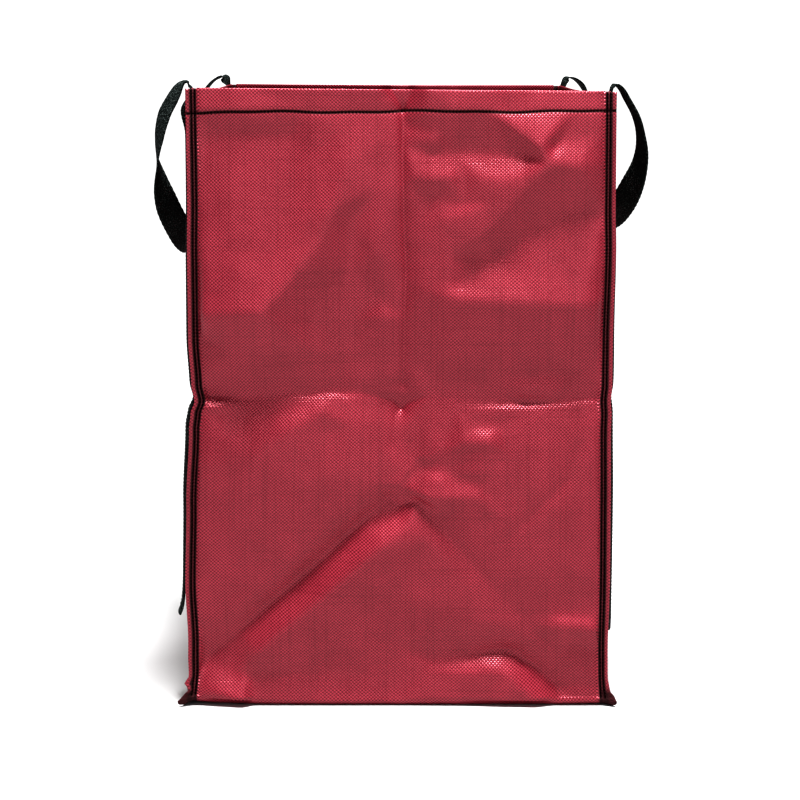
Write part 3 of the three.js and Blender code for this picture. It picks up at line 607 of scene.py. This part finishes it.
def lay(bm, sheet, places, **marks):
    """Moves a grid's vertices to their places and writes numbers on them; all come in millimetres."""
    for vert, place in zip(sheet.flat, places.reshape(-1, 3) * MM):
        vert.co = place
    for name, values in marks.items():
        layer = bm.verts.layers.float[name]
        for vert, value in zip(sheet.flat, np.broadcast_to(values, sheet.shape).flat):
            vert[layer] = value * MM


def new_piece(name, bm, material):
    """A smooth-shaded object from a bmesh, with its flat layout as a UV map."""
    mesh = bpy.data.meshes.new(name)
    bm.to_mesh(mesh)
    bm.free()
    if "flat_u" in mesh.attributes:
        flat = np.empty((2, len(mesh.vertices)))
        for values, axis in zip(flat, ("flat_u", "flat_v")):
            mesh.attributes[axis].data.foreach_get("value", values)
            mesh.attributes.remove(mesh.attributes[axis])
        corner = np.empty(len(mesh.loops), int)
        mesh.loops.foreach_get("vertex_index", corner)
        mesh.uv_layers.new(name="cloth").data.foreach_set("uv", flat.T[corner].ravel())
    mesh.shade_smooth()
    mesh.materials.append(material)
    piece = bpy.data.objects.new(name, mesh)
    bpy.context.scene.collection.objects.link(piece)
    return piece


def thicken(piece, thickness):
    solid = piece.modifiers.new("Thickness", "SOLIDIFY")
    solid.thickness = thickness
    solid.offset = 0
    solid.use_even_offset = False


def settle(piece, node=None):
    """Puts a piece on the bag's body, and hides the solid that it stands for."""
    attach(piece, "root")
    if node:
        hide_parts(node)


class Wire:
    """A socket of a finish, with the arithmetic that adds Math nodes."""

    def __init__(self, finish, socket):
        self.finish, self.socket = finish, socket

    def math(self, operation, *others):
        return self.finish.node("ShaderNodeMath", {"operation": operation}, dict(enumerate([self, *others])))

    def __add__(self, other):
        return self.math("ADD", other)

    def __sub__(self, other):
        return self.math("SUBTRACT", other)

    def __rsub__(self, other):
        return self.finish.node("ShaderNodeMath", {"operation": "SUBTRACT"}, {0: other, 1: self})

    def __mul__(self, other):
        return self.math("MULTIPLY", other)

    __radd__ = __add__
    __rmul__ = __mul__

    def sine(self):
        return self.math("SINE")

    def absolute(self):
        return self.math("ABSOLUTE")

    def clamped(self, low=0.0, high=1.0):
        return self.math("MAXIMUM", low).math("MINIMUM", high)

    def eased(self, low, high):
        """0 below low, 1 above high, eased between."""
        return self.finish.node(
            "ShaderNodeMapRange", {"interpolation_type": "SMOOTHSTEP"},
            {"Value": self, "From Min": low, "From Max": high})

    def band(self, inside, outside):
        """1 within a distance of zero, 0 past a greater one."""
        return 1 - self.absolute().eased(inside, outside)


class Finish:
    """A material under construction."""

    def __init__(self, name):
        self.material = bpy.data.materials.new(name)
        self.material.use_nodes = True
        self.tree = self.material.node_tree
        self.tree.nodes.clear()

    def node(self, kind, settings=None, inputs=None, output=0):
        made = self.tree.nodes.new(kind)
        for name, value in (settings or {}).items():
            setattr(made, name, value)
        for name, value in (inputs or {}).items():
            socket = made.inputs[name]
            if isinstance(value, Wire):
                self.tree.links.new(value.socket, socket)
            else:
                socket.default_value = value
        return Wire(self, made.outputs[output])

    def blend(self, factor, a, b):
        """Colour a to colour b by a factor."""
        a, b = (each if isinstance(each, Wire) else (*each, 1.0) for each in (a, b))
        return self.node("ShaderNodeMix", {"data_type": "RGBA"}, {0: factor, 6: a, 7: b}, output=2)

    def noise(self, vector, scale, detail=2.0):
        return self.node("ShaderNodeTexNoise", None, {"Vector": vector, "Scale": scale, "Detail": detail})

    def bump(self, strength, distance, height):
        return self.node(
            "ShaderNodeBump", None, {"Strength": strength, "Distance": distance, "Height": height})

    def mark(self, name):
        return self.node("ShaderNodeAttribute", {"attribute_name": name}, output="Fac")

    def object_place(self):
        return self.node("ShaderNodeTexCoord", output="Object")

    def layout(self):
        """Flat place on the cloth in metres, across and along."""
        flat = self.node("ShaderNodeUVMap", {"uv_map": "cloth"})
        return flat, *self.parts(flat)[:2]

    def parts(self, vector):
        first = self.node("ShaderNodeSeparateXYZ", None, {0: vector})
        return [Wire(self, socket) for socket in first.socket.node.outputs]

    def at(self, x, y, z=0.0):
        return self.node("ShaderNodeCombineXYZ", None, {"X": x, "Y": y, "Z": z})

    def done(self, **sockets):
        """Puts the shader and the output in; a value is a number, a colour or a wire."""
        sockets = {name.replace("_", " "): value for name, value in sockets.items()}
        shader = self.node("ShaderNodeBsdfPrincipled", None, sockets)
        output = self.tree.nodes.new("ShaderNodeOutputMaterial")
        self.tree.links.new(shader.socket, output.inputs["Surface"])
        return self.material


def red_woven_cloth(f, size, colours):
    """Coated plain weave of flat tapes, with painted sheen on the weave, painted gleams on the puckers by the seams,
    and painted shade in the seam grooves, on the fins, along the hem line and at the knots.
    """
    flat, u, v = f.layout()
    drift_u = (f.noise(flat, 20.0) - 0.5) * 0.0046
    drift_v = (f.noise(f.at(u, v, 3.7), 17.0) - 0.5) * 0.0034
    across = ((u + drift_u) * (math.pi / size.tape_across)).sine()
    up = ((v + drift_v) * (math.pi / size.tape_up)).sine()
    check = (across * up * 1.5).clamped(-1.0, 1.0)
    upright = f.noise(f.at(u * 420.0, v * 5.0), 1.0, 0.0)
    level = f.noise(f.at(u * 5.0, v * 460.0, 9.1), 1.0, 0.0)
    lines = upright.eased(0.30, 0.42) * level.eased(0.27, 0.40)
    broad = f.noise(f.at(u, v, 1.3), 26.0, 3.0)
    seam = f.mark("from_seam")
    # puckers beside each seam, one to a stitch: a real bump, and in the colour a painted gleam on each
    pucker_and_gleam = (seam - 0.0056).band(0.0008, 0.0026) * (v * (2 * math.pi / size.stitch)).sine()
    # the check of the weave is painted sheen of tapes that run two ways, stronger where the broad noise is high; the
    # streaks and the broad noise otherwise give the cloth's own uneven tone
    weave = (0.58 + check * (0.20 + broad * 0.40)) * (0.88 + lines * 0.12)
    weave = (weave + (broad - 0.5) * 0.30 + pucker_and_gleam * 0.22).clamped()
    # painted shade where the cloth is stitched down, gathered or folded on itself: the seam grooves, the fins, the
    # hem line and the knots, lighter on the seam's ridge
    groove_shade = seam.eased(-0.0060, -0.0038) * (1 - seam.eased(0.0032, 0.0048))
    # painted light: a lighter line on the seam's ridge, taken out of the groove's painted shade
    lit_ridge = (seam + 0.0002).band(0.0003, 0.0011) * 0.32
    # painted shade on the fin, fading out towards its outer edge, which stays lighter
    fin = (1 - seam.eased(-0.0062, -0.0046)) * (0.5 - (1 - seam.eased(-0.0082, -0.0068)) * 0.5) * 0.4
    # painted shade: a dark red line where the turned-in hem folds under its stitches
    hem_shade = f.mark("from_hem").band(0.0012, 0.0028) * 0.97
    # painted shade in the bunched knot at the foot of each seam, near the floor
    height = f.parts(f.object_place())[2]
    knot = (1 - height.eased(0.014, 0.032)) * (1 - seam.eased(0.0010, 0.0060)) * 0.93
    # all the painted shade together, which also raises the roughness where it lies
    painted_shade = (groove_shade - lit_ridge * groove_shade + fin).math("MAXIMUM", hem_shade).math("MAXIMUM", knot).clamped()
    red = f.blend(painted_shade, f.blend(weave, colours.cloth_shade_and_tone, colours.cloth), colours.groove_shade)
    rough = (0.33 + check * 0.06 + (broad - 0.5) * 0.16 + painted_shade * 0.5).clamped(0.2, 1.0)
    bump = f.bump(1.0, 0.00026, check * 0.5 + lines * 0.2 + pucker_and_gleam * 1.2 + (broad - 0.5) * 4.0)
    return f.done(Base_Color=red, Roughness=rough, Metallic=0.30, Normal=bump, Specular_IOR_Level=0.4)


def black_woven_webbing(f, size, colours):
    """Matt woven webbing with ribs, and grey flecks painted in as glints where the yarns catch the light."""
    flat, u, v = f.layout()
    rib = (u * (2 * math.pi / 0.0026)).sine()
    pick = ((v + (u * (2 * math.pi / 0.0052)).sine() * 0.0006) * (2 * math.pi / 0.0024)).sine()
    # painted glints on the yarns, which also get a bump and a higher roughness
    glint_fleck = f.noise(f.at(u * 620.0, v * 340.0), 1.0).eased(0.53, 0.61)
    broad = f.noise(flat, 30.0).eased(0.3, 0.8)
    painted_glint = (glint_fleck * (0.7 + pick * 0.3) * (0.35 + broad * 0.65)).clamped()
    black = f.blend(painted_glint, colours.webbing, colours.webbing_glint)
    bump = f.bump(1.0, 0.00030, rib * 0.35 + pick * 0.5 + glint_fleck * 0.3)
    rough = (0.78 + glint_fleck * 0.15).clamped()
    return f.done(Base_Color=black, Roughness=rough, Normal=bump, Specular_IOR_Level=0.08)


def dark_thread(f, size, colours):
    """Twisted dark thread."""
    fibre = f.noise(f.object_place(), 2600.0)
    black = f.blend(fibre.eased(0.45, 0.8), colours.thread, [c * 4 for c in colours.thread])
    return f.done(Base_Color=black, Roughness=0.9, Normal=f.bump(0.6, 0.0002, fibre), Specular_IOR_Level=0.0)


def pale_floor(f, size, colours):
    cloudy = f.noise(f.object_place(), 1.6, 3.0)
    pale = f.blend(cloudy, [c * 0.985 for c in colours.floor], colours.floor)
    return f.done(Base_Color=pale, Roughness=0.8, Specular_IOR_Level=0.2)


def finished(make):
    """The material that a function makes, made once."""
    name = make.__name__
    made = bpy.data.materials.get(name)
    return made or make(Finish(name), sizes(), bpy.context.scene.bag_colours)


class BAG_OT_strip(bpy.types.Operator):
    """Make the strip of cloth that is the front, the base and the back"""

    bl_idname = "bag.strip"
    bl_label = "Front, base and back"

    def execute(self, context):
        rows = strip_rows(sizes().hem / MM)
        y0, nominal, turned = (rows[:, k, None] for k in (0, 5, 6))
        side, near, across, out, back = strip_columns()
        seam = seam_at(side, y0, nominal)
        by_seam = np.where(np.isnan(near), 1.0, (seam - near) / seam)
        share = np.where(np.isnan(across), by_seam, across / FLAT_HALF)
        places, from_seam = strip_places(rows, side, share, out, back)
        lengths = lengths_along(rows[:, :2])[:, None]
        flat_out = np.where(back > 0, FIN_WIDTH + FIN_WRAP * (np.arctan2(back, FIN_WRAP) - 1), out)
        flat_x = side * share * FLAT_HALF
        line = np.where(y0 < 0, hem_level(-1, flat_x), hem_level(1, flat_x))
        bm = blank("from_seam", "from_hem")
        sheet = grid(bm, *share.shape)
        lay(bm, sheet, places, flat_u=flat_x + side * flat_out, flat_v=lengths,
            from_seam=from_seam + turned * 20, from_hem=nominal - line + turned * 60)
        cut = (turned > 0) & np.isnan(across) & ~(near >= 4)
        bmesh.ops.delete(bm, geom=list(sheet[cut]), context="VERTS")
        bmesh.ops.reverse_faces(bm, faces=bm.faces)
        piece = new_piece("cloth_strip", bm, finished(red_woven_cloth))
        thicken(piece, sizes().cloth)
        settle(piece, "body_strip")
        return {"FINISHED"}


class BAG_OT_sides(bpy.types.Operator):
    """Make the two side panels, with their allowances turned out along the strip's"""

    bl_idname = "bag.sides"
    bl_label = "Side panels"

    def execute(self, context):
        for side, word in SIDES:
            self.panel(side, word)
        return {"FINISHED"}

    def panel(self, side, word):
        line = HEIGHT - sizes().hem / MM
        near = BASE_HALF - 12
        ys = run((-BASE_HALF, -near, 3), (-near, near, 6.4), (near, BASE_HALF, 3))
        zs = run((WALL_FROM, 24, 4), (24, 370, 7), (370, 396, 3), (396, 716, 7), (716, line - 3, 3.5),
                 (line - 3, line + 3, 1.5), (line + 3, WALL_TO, 3.6))
        # the seam line: down the front, round the base and up the back
        turns = 3
        rows = np.array(wall(-1, zs[::-1]) + base_rows(turns, ys) + wall(1, zs), float)
        outs = np.array([[0, 1.4, 3.2, 5.2, 7.0]])
        ribbon = strip_places(rows, side, 1.0, outs, FIN_WRAP)[0]
        y, z, ny, nz, _, nominal, _ = rows.T[:, :, None]
        bm = blank("from_seam", "from_hem")
        flap = grid(bm, len(rows), outs.shape[1])
        lay(bm, flap, ribbon, flat_u=y + ny * outs, flat_v=z + nz * outs,
            from_seam=-outs, from_hem=nominal - line)
        # the web, whose outer ring of vertices lies on the seam line
        y, z = np.meshgrid([-MIDDLE_OF_CLOTH, *ys, MIDDLE_OF_CLOTH], [LIE, *zs])
        places = side_places(side, y, z)
        front = len(zs)
        base = front + turns - 1
        back = base + len(ys)
        middle = (turns - 1) // 2
        places[1:, 0] = ribbon[:front, 0][::-1]
        places[1:, -1] = ribbon[-front:, 0]
        places[0, 1:-1] = ribbon[base:back, 0]
        places[0, 0] = ribbon[front + middle, 0]
        places[0, -1] = ribbon[back + middle, 0]
        web = grid(bm, *y.shape)
        lay(bm, web, places, flat_u=y, flat_v=z, from_seam=np.minimum(DEPTH / 2 - np.abs(y), z),
            from_hem=z - line)
        # the hem turned in at the rim: how far inside the cloth, and how high
        turned = [(0.0, WALL_TO), (0.25, HEIGHT - 0.23), (0.8, HEIGHT), (1.35, HEIGHT - 0.23)]
        turned += [(HEM_UNDER, level) for level in spread(line, WALL_TO, 6)[::-1]]
        inside, level = np.array(turned).T[:, :, None]
        along, level = np.broadcast_arrays(np.array(ys[2:-2]), level)
        places = side_places(side, along, level)
        places[..., 0] -= side * inside
        facing = grid(bm, *along.shape)
        lay(bm, facing, places, flat_u=along, flat_v=HEIGHT + np.arange(len(turned))[:, None] * 2.0,
            from_seam=20, from_hem=60)
        bmesh.ops.remove_doubles(bm, verts=bm.verts, dist=0.02 * MM)
        bmesh.ops.recalc_face_normals(bm, faces=bm.faces)
        piece = new_piece("side_cloth_" + word, bm, finished(red_woven_cloth))
        thicken(piece, sizes().cloth)
        settle(piece, "side_panel_" + word)


def smooth_curve(points, steps):
    """Points of a centripetal Catmull-Rom curve and its directions."""
    points = [Vector(p) for p in points]
    ends = [2 * points[0] - points[1], *points, 2 * points[-1] - points[-2]]
    places, ways = [], []
    for k in range((len(points) - 1) * steps + 1):
        at = min(k // steps, len(points) - 2)
        t = k / steps - at
        p0, p1, p2, p3 = ends[at:at + 4]
        d0, d1, d2 = (max((b - a).length, 1e-6) ** 0.5 for a, b in ((p0, p1), (p1, p2), (p2, p3)))
        m1 = ((p1 - p0) / d0 - (p2 - p0) / (d0 + d1) + (p2 - p1) / d1) * d1
        m2 = ((p2 - p1) / d1 - (p3 - p1) / (d1 + d2) + (p3 - p2) / d2) * d1
        places.append(p1 * (2 * t**3 - 3 * t**2 + 1) + m1 * (t**3 - 2 * t**2 + t)
                      + p2 * (3 * t**2 - 2 * t**3) + m2 * (t**3 - t**2))
        ways.append((p1 * (6 * t**2 - 6 * t) + m1 * (3 * t**2 - 4 * t + 1)
                     + p2 * (6 * t - 6 * t**2) + m2 * (3 * t**2 - 2 * t)).normalized())
    return places, ways


def sewn_sections(side, end, cut_end, flare, offsets, lift):
    """Sections of a handle's sewn stretch, from its cut end up to the rim."""
    heights = np.array(run((cut_end, cut_end + 40, 3), (cut_end + 40, HEIGHT, 4.5)))[:, None]
    y, z = np.broadcast_arrays(end * (DEPTH / 2 - WEBBING_INSET + offsets), heights)
    loose = flare * np.exp(-(z - cut_end) / 16)
    x = side_at(side, y, z) + side_relief(side, y, z) + lift + loose
    up = raised(np.full_like(x, side * RIM_HALF), y, z)
    return np.stack([side * x, y, up], axis=-1)


def loop_sections(side, word, offsets, steps=8):
    """Sections of a handle's free loop, from the front of the rim to the back."""
    table = LOOPS[word]
    points = [(float(seam_at(side, along, HEIGHT)) + out + SOLID_CLOTH, along, HEIGHT + up)
              for out, along, up, *_ in table]
    sections = []
    for k, (place, way) in enumerate(zip(*smooth_curve(points, steps))):
        at = min(k // steps, len(table) - 2)
        width = Vector(table[at][3:]).lerp(Vector(table[at + 1][3:]), k / steps - at)
        width = (width - way * width.dot(way)).normalized()
        sections.append([place + width * o for o in offsets])
    return np.array(sections) * (side, 1, 1)


def handle_sections(side, word, offsets, lift):
    """Sections of a handle's front leg, loop and back leg."""
    front_end, back_end, flare = HANDLES[word]
    front = sewn_sections(side, -1, front_end, flare, offsets, lift)[:, ::-1]
    back = sewn_sections(side, 1, back_end, 0.0, offsets, lift)[::-1, ::-1]
    return front, loop_sections(side, word, offsets), back


class BAG_OT_handles(bpy.types.Operator):
    """Make the two webbing handles, sewn up each side panel and looped over the rim"""

    bl_idname = "bag.handles"
    bl_label = "Webbing handles"

    def execute(self, context):
        half = sizes().webbing_width / MM / 2
        offsets = np.linspace(-half, half, 9)
        for side, word in SIDES:
            sections = np.concatenate(handle_sections(side, word, offsets, SOLID_CLOTH + WEBBING_OFF))
            across = sections[:, -1] - sections[:, 0]
            across /= np.linalg.norm(across, axis=1)[:, None]
            tooth = across * np.where(np.arange(len(sections)) % 2, 0.35, -0.15)[:, None]
            sections[:, -1] += tooth
            sections[:, 0] -= tooth
            along = lengths_along(sections[:, 4])[:, None]
            bm = blank()
            lay(bm, grid(bm, len(sections), len(offsets)), sections, flat_u=offsets, flat_v=along)
            bmesh.ops.recalc_face_normals(bm, faces=bm.faces)
            piece = new_piece("webbing_handle_" + word, bm, finished(black_woven_webbing))
            thicken(piece, sizes().webbing_thick)
            settle(piece, "handle_" + word)
        return {"FINISHED"}


def stitches(name, rows, length, width, wander=0.1):
    """One mesh of small rounded stitches along rows of places, each with its outward normal."""
    chance = random.Random(STITCH_SEED)
    bm = bmesh.new()
    for places, normal in rows:
        places = places * MM
        along = lengths_along(places)
        count = max(1, int(along[-1] / length))
        for k in range(count):
            middle = (k + 0.5) * along[-1] / count
            ends = [np.array([np.interp(middle + s * 0.5 * length, along, places[:, a]) for a in range(3)])
                    for s in (-1, 1)]
            way = Vector(ends[1] - ends[0])
            if way.length < 1e-6:
                continue
            way.normalize()
            cross = Vector(normal).cross(way).normalized()
            up = way.cross(cross)
            lean = chance.uniform(-STITCH_LEAN, STITCH_LEAN)
            way, cross = way + cross * lean, cross - way * lean
            place = Vector((ends[0] + ends[1]) / 2) + cross * chance.uniform(-wander, wander) * width
            turn = Matrix((way, cross, up)).transposed().to_4x4()
            scale = Matrix.Diagonal((length * 0.5, width * 0.5, width * STITCH_HIGH, 1))
            bmesh.ops.create_icosphere(
                bm, subdivisions=1, radius=1, matrix=Matrix.Translation(place) @ turn @ scale)
    settle(new_piece(name, bm, finished(dark_thread)))


def seam_lines(lift):
    """Two lines down each standing seam, one on the fin and one beside it."""
    heights = run((4, HEIGHT - 1, 6))
    rows = []
    for side, _ in SIDES:
        for end in (-1, 1):
            line = np.array(wall(end, heights), float)
            seam = seam_at(side, line[0, 0], np.array(heights))[:, None]
            for out, depth in SEAM_ROWS:
                places = strip_places(line, side, (seam - depth) / seam, out, 0.0)[0][:, 0]
                rows.append((places + (0, end * lift, 0), (0, end, 0)))
    return rows


def hem_lines(lift):
    """The line under the hem, across the strip's walls with their fins and the side panels."""
    rows = []
    fins = np.array(FIN_HEM) + FLAT_HALF
    across = np.array([*-fins[::-1], *run((-FLAT_HALF, FLAT_HALF, 5)), *fins])
    for end in (-1, 1):
        line = np.array(wall(end, hem_level(end, across)), float)
        share = np.minimum(np.abs(across) / FLAT_HALF, 1)
        out = np.clip(np.abs(across) - FLAT_HALF, 0, None)
        places = strip_places(line, np.where(across < 0, -1.0, 1.0), share, out, 0.0)[0]
        places = places[np.arange(len(line)), np.arange(len(line))]
        rows.append((places + (0, end * lift, 0), (0, end, 0)))
    for side, _ in SIDES:
        y = np.array(run((-246, 246, 5)))
        places = side_places(side, y, np.full_like(y, HEIGHT - sizes().hem / MM))
        rows.append((places + (side * lift, 0, 0), (side, 0, 0)))
    return rows


def handle_lines(lift):
    """Two lines up each sewn leg of the handles, short of its cut end."""
    rows = []
    for side, word in SIDES:
        for inset in WEBBING_ROWS:
            front, _, back = handle_sections(side, word, np.array([inset]), lift)
            rows += [(front[2:, 0], (side, 0, 0)), (back[:-2, 0], (side, 0, 0))]
    return rows


class BAG_OT_stitching(bpy.types.Operator):
    """Sew the seams, the hem and the handles with dark thread"""

    bl_idname = "bag.stitching"
    bl_label = "Stitching"

    def execute(self, context):
        size = sizes()
        lift = size.cloth / MM / 2 + 0.1
        top = SOLID_CLOTH + WEBBING_OFF + size.webbing_thick / MM / 2 + 0.05
        stitches("seam_stitches", seam_lines(lift), size.stitch, size.thread)
        stitches("hem_stitches", hem_lines(lift), size.stitch * 0.95, size.thread * 0.85, wander=0.22)
        stitches("handle_stitches", handle_lines(top), size.stitch * 1.1, size.thread * 0.6)
        return {"FINISHED"}


class BAG_OT_stage(bpy.types.Operator):
    """Set the pale floor, the soft lights and the camera"""

    bl_idname = "bag.stage"
    bl_label = "Stage"

    def execute(self, context):
        scene = context.scene
        bm = bmesh.new()
        bmesh.ops.create_grid(bm, x_segments=1, y_segments=1, size=60)
        floor = new_piece("floor", bm, finished(pale_floor))
        floor.data.shade_flat()
        overhead = self.light("overhead", "SUN", (0.24, -0.72, 6.0), (0, 0, 0), 6.5)
        overhead.angle = math.radians(15)
        high = self.light("high", "AREA", (0.20, -0.80, 3.6), (0, -0.25, 0.6), 98)
        high.shape, high.size = "SQUARE", 0.9
        front = self.light("front", "AREA", (0.25, -3.3, 1.55), (0, 0, 0.5), 21)
        front.shape, front.size, front.size_y = "RECTANGLE", 1.4, 1.5
        self.backdrop(scene)
        camera = bpy.data.objects.new("camera", bpy.data.cameras.new("camera"))
        scene.collection.objects.link(camera)
        camera.location = (-0.0012, -2.814, 0.7936)
        camera.rotation_euler = (math.radians(82), 0, 0)
        camera.data.sensor_width = 36
        camera.data.lens = 96.6
        camera.data.shift_y = -0.052
        scene.camera = camera
        scene.view_settings.view_transform = "Standard"
        scene.view_settings.look = "High Contrast"
        return {"FINISHED"}

    def light(self, name, kind, place, target, power):
        lamp = bpy.data.lights.new(name, kind)
        lamp.energy = power
        thing = bpy.data.objects.new(name, lamp)
        bpy.context.scene.collection.objects.link(thing)
        thing.location = place
        thing.rotation_euler = (Vector(target) - Vector(place)).to_track_quat("-Z", "Y").to_euler()
        return lamp

    def backdrop(self, scene):
        """A white backdrop all round, which itself gives only little light."""
        world = bpy.data.worlds.new("studio")
        scene.world = world
        world.use_nodes = True
        tree = world.node_tree
        dim = tree.nodes["Background"]
        white = tree.nodes.new("ShaderNodeBackground")
        for shader in (dim, white):
            shader.inputs["Color"].default_value = (1, 1, 1, 1)
        dim.inputs["Strength"].default_value = 0.08
        seen = tree.nodes.new("ShaderNodeLightPath")
        both = tree.nodes.new("ShaderNodeMixShader")
        tree.links.new(seen.outputs["Is Camera Ray"], both.inputs[0])
        tree.links.new(dim.outputs[0], both.inputs[1])
        tree.links.new(white.outputs[0], both.inputs[2])
        tree.links.new(both.outputs[0], tree.nodes["World Output"].inputs["Surface"])


OPERATORS = (BAG_OT_strip, BAG_OT_sides, BAG_OT_handles, BAG_OT_stitching, BAG_OT_stage)


class BAG_PT_panel(bpy.types.Panel):
    """Sizes, colours and steps of the storage bag"""

    bl_idname = "BAG_PT_panel"
    bl_label = "Storage bag"
    bl_space_type = "VIEW_3D"
    bl_region_type = "UI"
    bl_category = "Storage Bag"

    def draw(self, context):
        for group in (context.scene.bag_sizes, context.scene.bag_colours):
            box = self.layout.box()
            for name in group.__annotations__:
                box.prop(group, name)
        for operator in OPERATORS:
            self.layout.operator(operator.bl_idname)


CLASSES = (BagSizes, BagColours, *OPERATORS, BAG_PT_panel)


def register():
    for cls in CLASSES:
        bpy.utils.register_class(cls)
    bpy.types.Scene.bag_sizes = PointerProperty(type=BagSizes)
    bpy.types.Scene.bag_colours = PointerProperty(type=BagColours)


def unregister():
    del bpy.types.Scene.bag_sizes
    del bpy.types.Scene.bag_colours
    for cls in reversed(CLASSES):
        bpy.utils.unregister_class(cls)


def main():
    register()
    bpy.ops.bag.strip()
    bpy.ops.bag.sides()
    bpy.ops.bag.handles()
    bpy.ops.bag.stitching()
    bpy.ops.bag.stage()


if __name__ == "__main__":
    main()
